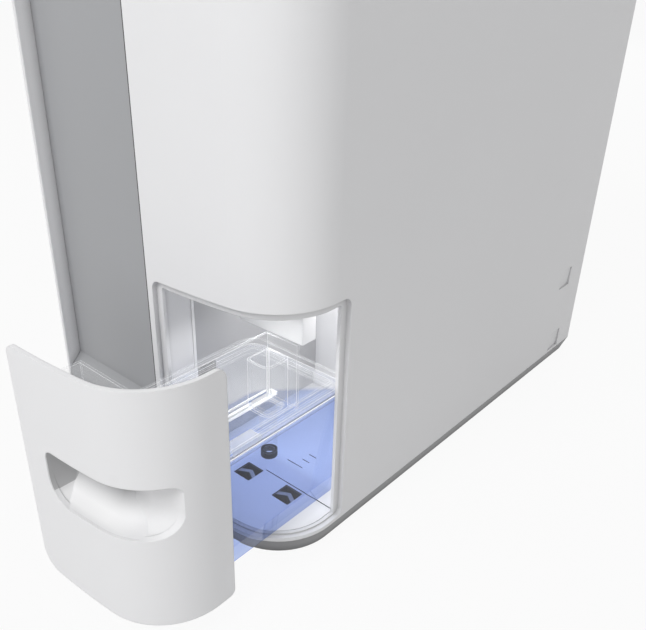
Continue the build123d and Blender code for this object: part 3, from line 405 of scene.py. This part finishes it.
whiteLiner = {
    "name": "whiteLiner",
    "colour": (0.88, 0.88, 0.88), "shade": (0.85, 0.85, 0.855), "pale": (0.90, 0.90, 0.90),
    "rough": (0.38, 0.5), "grain": 2200.0, "flow": 8.0, "bump": 0.05,
    "edge": 0.0006, "wear": 0.4,
    "dim": (0.45, 0.45, 0.46), "reach": 0.008, "dull": 0.35,
    "shadowed": [
        {  # painted shade in the wells and seams of the floor
            "on": "bay_liner", "colour": (0.10, 0.10, 0.10),
            "low": (0.0024, 0.021, -0.0015), "high": (0.1204, 0.170, 0.0094),
        },
        {  # painted shade on the top of the ribs in the wells
            "on": "bay_liner", "colour": (0.32, 0.32, 0.32),
            "low": (0.0024, 0.021, 0.0081), "high": (0.1204, 0.170, 0.0085),
        },
        {  # painted shade on the left wall
            "on": "bay_liner", "colour": (0.52, 0.52, 0.525),
            "low": (0.0004, 0.025, 0.0097), "high": (0.0029, 0.171, 0.1745),
        },
    ],
}
paint(moulded(whiteLiner), "bay_liner")

# a darker copy of the liner's white: painted shade on the drip box
dripShadedWhite = dict(
    whiteLiner, name="dripShadedWhite", colour=(0.83, 0.83, 0.83), shade=(0.80, 0.80, 0.805), shadowed=[]
)
paint(moulded(dripShadedWhite), "drip_box")

greyInner = {
    "name": "greyInner",
    "colour": (0.46, 0.46, 0.47), "shade": (0.42, 0.42, 0.43), "pale": (0.55, 0.55, 0.55),
    "rough": (0.45, 0.6), "grain": 1800.0, "flow": 9.0, "bump": 0.08,
    "edge": 0.0006, "wear": 0.3,
    "dim": (0.22, 0.22, 0.22), "reach": 0.006, "dull": 0.8,
}
paint(moulded(greyInner), "drip_tray", "drain_channel", "fan_shroud", "electronics_box")

blackInner = {
    "name": "blackInner",
    "colour": (0.035, 0.035, 0.037), "shade": (0.025, 0.025, 0.026), "pale": (0.09, 0.09, 0.09),
    "rough": (0.4, 0.55), "grain": 1800.0, "flow": 9.0, "bump": 0.08,
    "edge": 0.0005, "wear": 0.4,
    "dim": (0.012, 0.012, 0.012), "reach": 0.005, "dull": 0.8,
}
paint(moulded(blackInner), "fan_wheel", "tank_switch", "air_filter")

softRubber = {
    "name": "softRubber",
    "colour": (0.03, 0.03, 0.03), "shade": (0.02, 0.02, 0.02), "pale": (0.07, 0.07, 0.07),
    "rough": (0.7, 0.85), "grain": 1500.0, "flow": 12.0, "bump": 0.12,
    "edge": 0.0006, "wear": 0.4,
    "dim": (0.012, 0.012, 0.012), "reach": 0.005, "dull": 0.8,
}
paint(moulded(softRubber), "rubber_pads", "compressor_grommets", "cord_inlet")

buttonGrey = {
    "name": "buttonGrey",
    "colour": (0.62, 0.62, 0.63), "shade": (0.58, 0.58, 0.59), "pale": (0.7, 0.7, 0.7),
    "rough": (0.3, 0.4), "grain": 3000.0, "flow": 20.0, "bump": 0.04,
    "edge": 0.0005, "wear": 0.5,
    "dim": (0.3, 0.3, 0.3), "reach": 0.003, "dull": 0.8,
}
paint(moulded(buttonGrey), "power_button", "mode_button", "humidity_button", "timer_button")

glossBlack = {
    "name": "glossBlack",
    "colour": (0.028, 0.028, 0.03), "shade": (0.021, 0.021, 0.023), "pale": (0.05, 0.05, 0.05),
    "rough": (0.22, 0.32), "grain": 900.0, "flow": 10.0, "bump": 0.01,
    "edge": 0.0004, "wear": 0.3,
    "dim": (0.008, 0.008, 0.008), "reach": 0.003, "dull": 0.6,
}
paint(moulded(glossBlack), "control_fascia")

smokedLens = dict(
    glossBlack, name="smokedLens", rough=(0.03, 0.06),
    colour=(0.010, 0.014, 0.022), shade=(0.007, 0.010, 0.016),
)
paint(moulded(smokedLens), "display_lens")

boardGreen = {
    "name": "boardGreen",
    "colour": (0.02, 0.17, 0.06), "shade": (0.012, 0.1, 0.035), "pale": (0.3, 0.32, 0.2),
    "rough": (0.3, 0.45), "grain": 1400.0, "flow": 220.0, "bump": 0.1,
    "edge": 0.0003, "wear": 0.6,
    "dim": (0.006, 0.05, 0.02), "reach": 0.003, "dull": 0.8,
}
paint(moulded(boardGreen), "control_board")

blueTank = {
    "name": "blueTank",
    # pale here is the darker blue of the shade painted on the edges
    "colour": (0.183, 0.275, 0.68), "shade": (0.168, 0.258, 0.65), "pale": (0.12, 0.19, 0.66),
    "clear": (0.93, 0.95, 0.98), "lamp": (0.96, 0.97, 1.0),
    "tintLine": {"on": "tank_bucket", "low": 0.0523, "rise": 0.46, "soft": 0.003},  # rises along X
    "rough": (0.02, 0.05), "frost": 0.2, "edge": 0.0007, "grain": 900.0, "flow": 14.0,
    "bump": 0.03, "ior": 1.01, "coat": 0.6,
    "lines": [
        {  # painted dark line of shade along the bend near the foot
            "on": "tank_bucket", "colour": (0.10, 0.17, 0.62),
            "low": (-0.01, -0.01, 0.0207), "high": (0.1, 0.2, 0.0217),
        },
        {  # painted dark line of shade along the lower edge
            "on": "tank_bucket", "colour": (0.10, 0.17, 0.62),
            "low": (-0.01, -0.01, -0.0005), "high": (0.1, 0.2, 0.0013),
        },
        {  # painted shade line below the rim, on the right wall
            "on": "tank_bucket", "colour": (0.10, 0.13, 0.30),
            "low": (0.085, -0.01, 0.0875), "high": (0.1, 0.2, 0.0883),
        },
    ],
}
paint(tintedWall(blueTank), "tank_bucket")

clearLid = {
    "name": "clearLid",
    "colour": (0.90, 0.91, 0.92), "shade": (0.86, 0.87, 0.88), "paintedEdgeGlow": (0.5, 0.5, 0.51),
    "veil": (0.02, 0.05), "rim": 0.85, "glance": {"blend": 0.2, "share": 0.10},
    "rough": (0.08, 0.16), "edge": 0.0007, "grain": 900.0, "flow": 16.0, "bump": 0.03,
    "frosted": [
        {  # plate near the panel
            "on": "tank_lid", "solid": 0.30,
            "low": (0.0775, 0.0637, 0.0048), "high": (0.1030, 0.0862, 0.0108),
        },
        {  # foot of the splash wall
            "on": "tank_lid", "solid": 0.55,
            "low": (0.0541, 0.0262, 0.0048), "high": (0.0597, 0.1282, 0.0098),
        },
    ],
    "lines": [
        {  # painted dark line along the skirt, standing in for its refraction
            "on": "tank_lid", "colour": (0.05, 0.05, 0.07), "paintedGlow": (0.0, 0.0, 0.0), "solid": 0.7,
            "low": (0.0862, 0.0562, 0.0062), "high": (0.0890, 0.1602, 0.0069),
        },
        {  # painted highlight line below it, with a painted glow
            "on": "tank_lid", "colour": (0.90, 0.91, 0.92), "paintedGlow": (0.3, 0.3, 0.3), "solid": 0.85,
            "low": (0.0862, 0.0562, 0.0048), "high": (0.0890, 0.1602, 0.0058),
        },
    ],
}
paint(clearWall(clearLid), "tank_lid")

# the float keeps the painted edge glow and a fainter painted white rim
floatClear = dict(
    clearLid, name="floatClear", veil=(0.03, 0.06), rim=0.35, frosted=[], lines=[]
)
paint(clearWall(floatClear), "tank_float")
print("materials on the housing and the tank")


# metals inside, and black paint on metal
def bareMetal(look):
    material, tree, shader, coords = startMaterial(look["name"])
    stretch = addNode(tree, "ShaderNodeMapping", Scale=look["stretch"])
    tree.links.new(coords, stretch.inputs["Vector"])
    grain, edge, tone = grained(tree, stretch.outputs["Vector"], look)
    worn = mathNode(tree, "MULTIPLY", edge.outputs["Mask"], look["wear"])
    tree.links.new(mixColour(tree, worn, tone, look["pale"]), shader.inputs["Base Color"])
    rough = between(tree, grain.outputs["Height"], look["rough"])
    tree.links.new(rough, shader.inputs["Roughness"])
    bumpOn(
        tree, shader, grain.outputs["Height"], look["bump"], finish["fineDepth"],
        edge.outputs["Normal"],
    )
    shader.inputs["Metallic"].default_value = look["metal"]
    return material


coilAluminium = {
    "name": "coilAluminium",
    "colour": (0.78, 0.78, 0.79), "shade": (0.66, 0.67, 0.69), "pale": (0.86, 0.86, 0.87),
    "rough": (0.28, 0.42), "grain": 700.0, "flow": 18.0, "stretch": (6.0, 1.0, 1.0),
    "bump": 0.15, "edge": 0.0004, "wear": 0.4, "metal": 1.0,
}
paint(bareMetal(coilAluminium), "evaporator", "condenser", "run_capacitor")

copperTube = {
    "name": "copperTube",
    "colour": (0.74, 0.40, 0.24), "shade": (0.48, 0.24, 0.14), "pale": (0.82, 0.5, 0.34),
    "rough": (0.25, 0.45), "grain": 600.0, "flow": 22.0, "stretch": (1.0, 1.0, 1.0),
    "bump": 0.08, "edge": 0.0004, "wear": 0.3, "metal": 1.0,
}
paint(bareMetal(copperTube), "coil_bends", "discharge_pipe", "suction_pipe")

zincSteel = {
    "name": "zincSteel",
    "colour": (0.60, 0.60, 0.60), "shade": (0.48, 0.48, 0.50), "pale": (0.72, 0.72, 0.72),
    "rough": (0.3, 0.5), "grain": 900.0, "flow": 30.0, "stretch": (1.0, 1.0, 1.0),
    "bump": 0.1, "edge": 0.0004, "wear": 0.4, "metal": 1.0,
}
paint(bareMetal(zincSteel), "fan_motor", "rear_screws")

canBlack = {
    "name": "canBlack",
    "colour": (0.022, 0.022, 0.023), "shade": (0.015, 0.015, 0.016), "pale": (0.08, 0.08, 0.08),
    "rough": (0.18, 0.32), "grain": 350.0, "flow": 12.0, "stretch": (1.0, 1.0, 1.0),
    "bump": 0.2, "edge": 0.001, "wear": 0.5, "metal": 0.0,
}
paint(bareMetal(canBlack), "compressor", "float_magnet")
print("materials on the inner works")


# rays that the eye follows, straight or off gloss and through glass
def seenRays(tree):
    path = tree.nodes.new("ShaderNodeLightPath")
    both = mathNode(tree, "MAXIMUM", path.outputs["Is Camera Ray"], path.outputs["Is Glossy Ray"])
    return mathNode(tree, "MAXIMUM", both, path.outputs["Is Transmission Ray"])


# floor and background show white, and light the object at the ambient level
studio = {"floorSize": 40.0, "floorShow": 0.93, "ambient": 0.57, "floorColour": (0.5, 0.5, 0.5)}
bpy.ops.mesh.primitive_plane_add(size=studio["floorSize"], location=(0, 0, cadBox[0][2]))
floor = bpy.context.object
floor.name = "paleFloor"
floorMaterial = bpy.data.materials.new("paleFloor")
floorMaterial.use_nodes = True
floorTree = floorMaterial.node_tree
floorTree.nodes.remove(floorTree.nodes["Principled BSDF"])
floorLit = addNode(floorTree, "ShaderNodeBsdfDiffuse", Color=(*studio["floorColour"], 1.0))
floorWhite = addNode(floorTree, "ShaderNodeEmission", Strength=1.0)
floorMix = floorTree.nodes.new("ShaderNodeMixShader")
floorSeen = mathNode(floorTree, "MULTIPLY", seenRays(floorTree), studio["floorShow"])
floorTree.links.new(floorSeen, floorMix.inputs[0])
floorTree.links.new(floorLit.outputs[0], floorMix.inputs[1])
floorTree.links.new(floorWhite.outputs[0], floorMix.inputs[2])
floorTree.links.new(floorMix.outputs[0], floorTree.nodes["Material Output"].inputs["Surface"])
floor.data.materials.append(floorMaterial)

world = bpy.data.worlds.new("studioWhite")
bpy.context.scene.world = world
world.use_nodes = True
sky = world.node_tree
background = sky.nodes["Background"]
background.inputs["Color"].default_value = (1.0, 1.0, 1.0, 1.0)
lift = mathNode(sky, "MULTIPLY", seenRays(sky), 1.0 - studio["ambient"])
sky.links.new(mathNode(sky, "ADD", lift, studio["ambient"]), background.inputs["Strength"])


wideSpread = 180.0  # degrees, for a lamp that isn't narrowed


def areaLight(look, start):
    data = bpy.data.lights.new(look["name"], "AREA")
    data.shape = "DISK"
    data.size = look["size"]
    data.energy = look["power"]
    data.spread = math.radians(look.get("spread", wideSpread))
    lamp = bpy.data.objects.new(look["name"], data)
    bpy.context.scene.collection.objects.link(lamp)
    lamp.location = start + Vector(look["place"])
    aim = Vector(look["aim"]) - Vector(look["place"])
    lamp.rotation_euler = aim.to_track_quat("-Z", "Y").to_euler()
    return lamp


studioLamps = [
    {
        "name": "keyLight", "place": (0.0, -1.95, 2.2), "aim": (0, -0.1, 0.2),
        "size": 1.2, "power": 33.0,
    },
    {
        "name": "lowFill", "place": (1.5, -1.9, 0.7), "aim": (0, -0.1, 0.15),
        "size": 1.4, "power": 11.0,
    },
    {
        "name": "rearFill", "place": (-0.8, 2.4, 1.4), "aim": (0, 0.1, 0.25),
        "size": 1.6, "power": 16.0,
    },
]
for look in studioLamps:
    areaLight(look, Vector((0.0, 0.0, 0.0)))

# small lamps under the roof of the tank bay, which the eye doesn't see, from the liner's lowest corner
bayLamps = [
    {
        "name": "bayRear", "place": (0.0154, 0.116, 0.1605), "aim": (0.1134, 0.146, 0.0155),
        "size": 0.05, "power": 0.092,
    },
    {
        "name": "bayRight", "place": (0.1034, 0.083, 0.1615), "aim": (0.0734, 0.116, 0.0355),
        "size": 0.018, "power": 0.012,
    },
    {
        "name": "bayFront", "place": (0.0714, 0.017, 0.1605), "aim": (0.0854, 0.013, 0.0155),
        "size": 0.02, "power": 0.034, "spread": 135.0,
    },
]
for look in bayLamps:
    lamp = areaLight(look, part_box("bay_liner")[0])
    lamp.visible_camera = lamp.visible_glossy = lamp.visible_transmission = False

# width, height, focal and centre are pixels, angles degrees, place and near metres, sensor millimetres
photo = {
    "width": 646, "height": 630, "focal": 734.61, "yaw": 44.47, "pitch": 27.59, "roll": 0.68,
    "centre": (264.33, 328.17),  # where the lens axis meets the picture
    "place": (0.3396, -0.4492, 0.3516), "sensor": 36.0, "near": 0.01,
}
yaw, pitch, roll = (math.radians(photo[key]) for key in ("yaw", "pitch", "roll"))
level = Vector((math.cos(yaw), math.sin(yaw), 0.0))
facing = Vector((-math.sin(yaw), math.cos(yaw), 0.0))
ahead = facing * math.cos(pitch) - Vector((0.0, 0.0, math.sin(pitch)))
down = ahead.cross(level)
right = level * math.cos(roll) + down * math.sin(roll)
down = down * math.cos(roll) - level * math.sin(roll)
lens = bpy.data.cameras.new("photoCamera")
lens.sensor_width = photo["sensor"]
lens.lens = photo["focal"] / photo["width"] * photo["sensor"]
lens.shift_x = (photo["width"] / 2 - photo["centre"][0]) / photo["width"]
lens.shift_y = (photo["centre"][1] - photo["height"] / 2) / photo["width"]
lens.clip_start = photo["near"]
camera = bpy.data.objects.new("photoCamera", lens)
bpy.context.scene.collection.objects.link(camera)
turn = Matrix((right, -down, -ahead)).transposed().to_4x4()
camera.matrix_world = Matrix.Translation(photo["place"]) @ turn
bpy.context.scene.camera = camera
bpy.context.scene.view_settings.view_transform = "Standard"
bpy.context.scene.cycles.transparent_max_bounces = 32  # the lid's walls lie many deep
print("studio and camera ready")
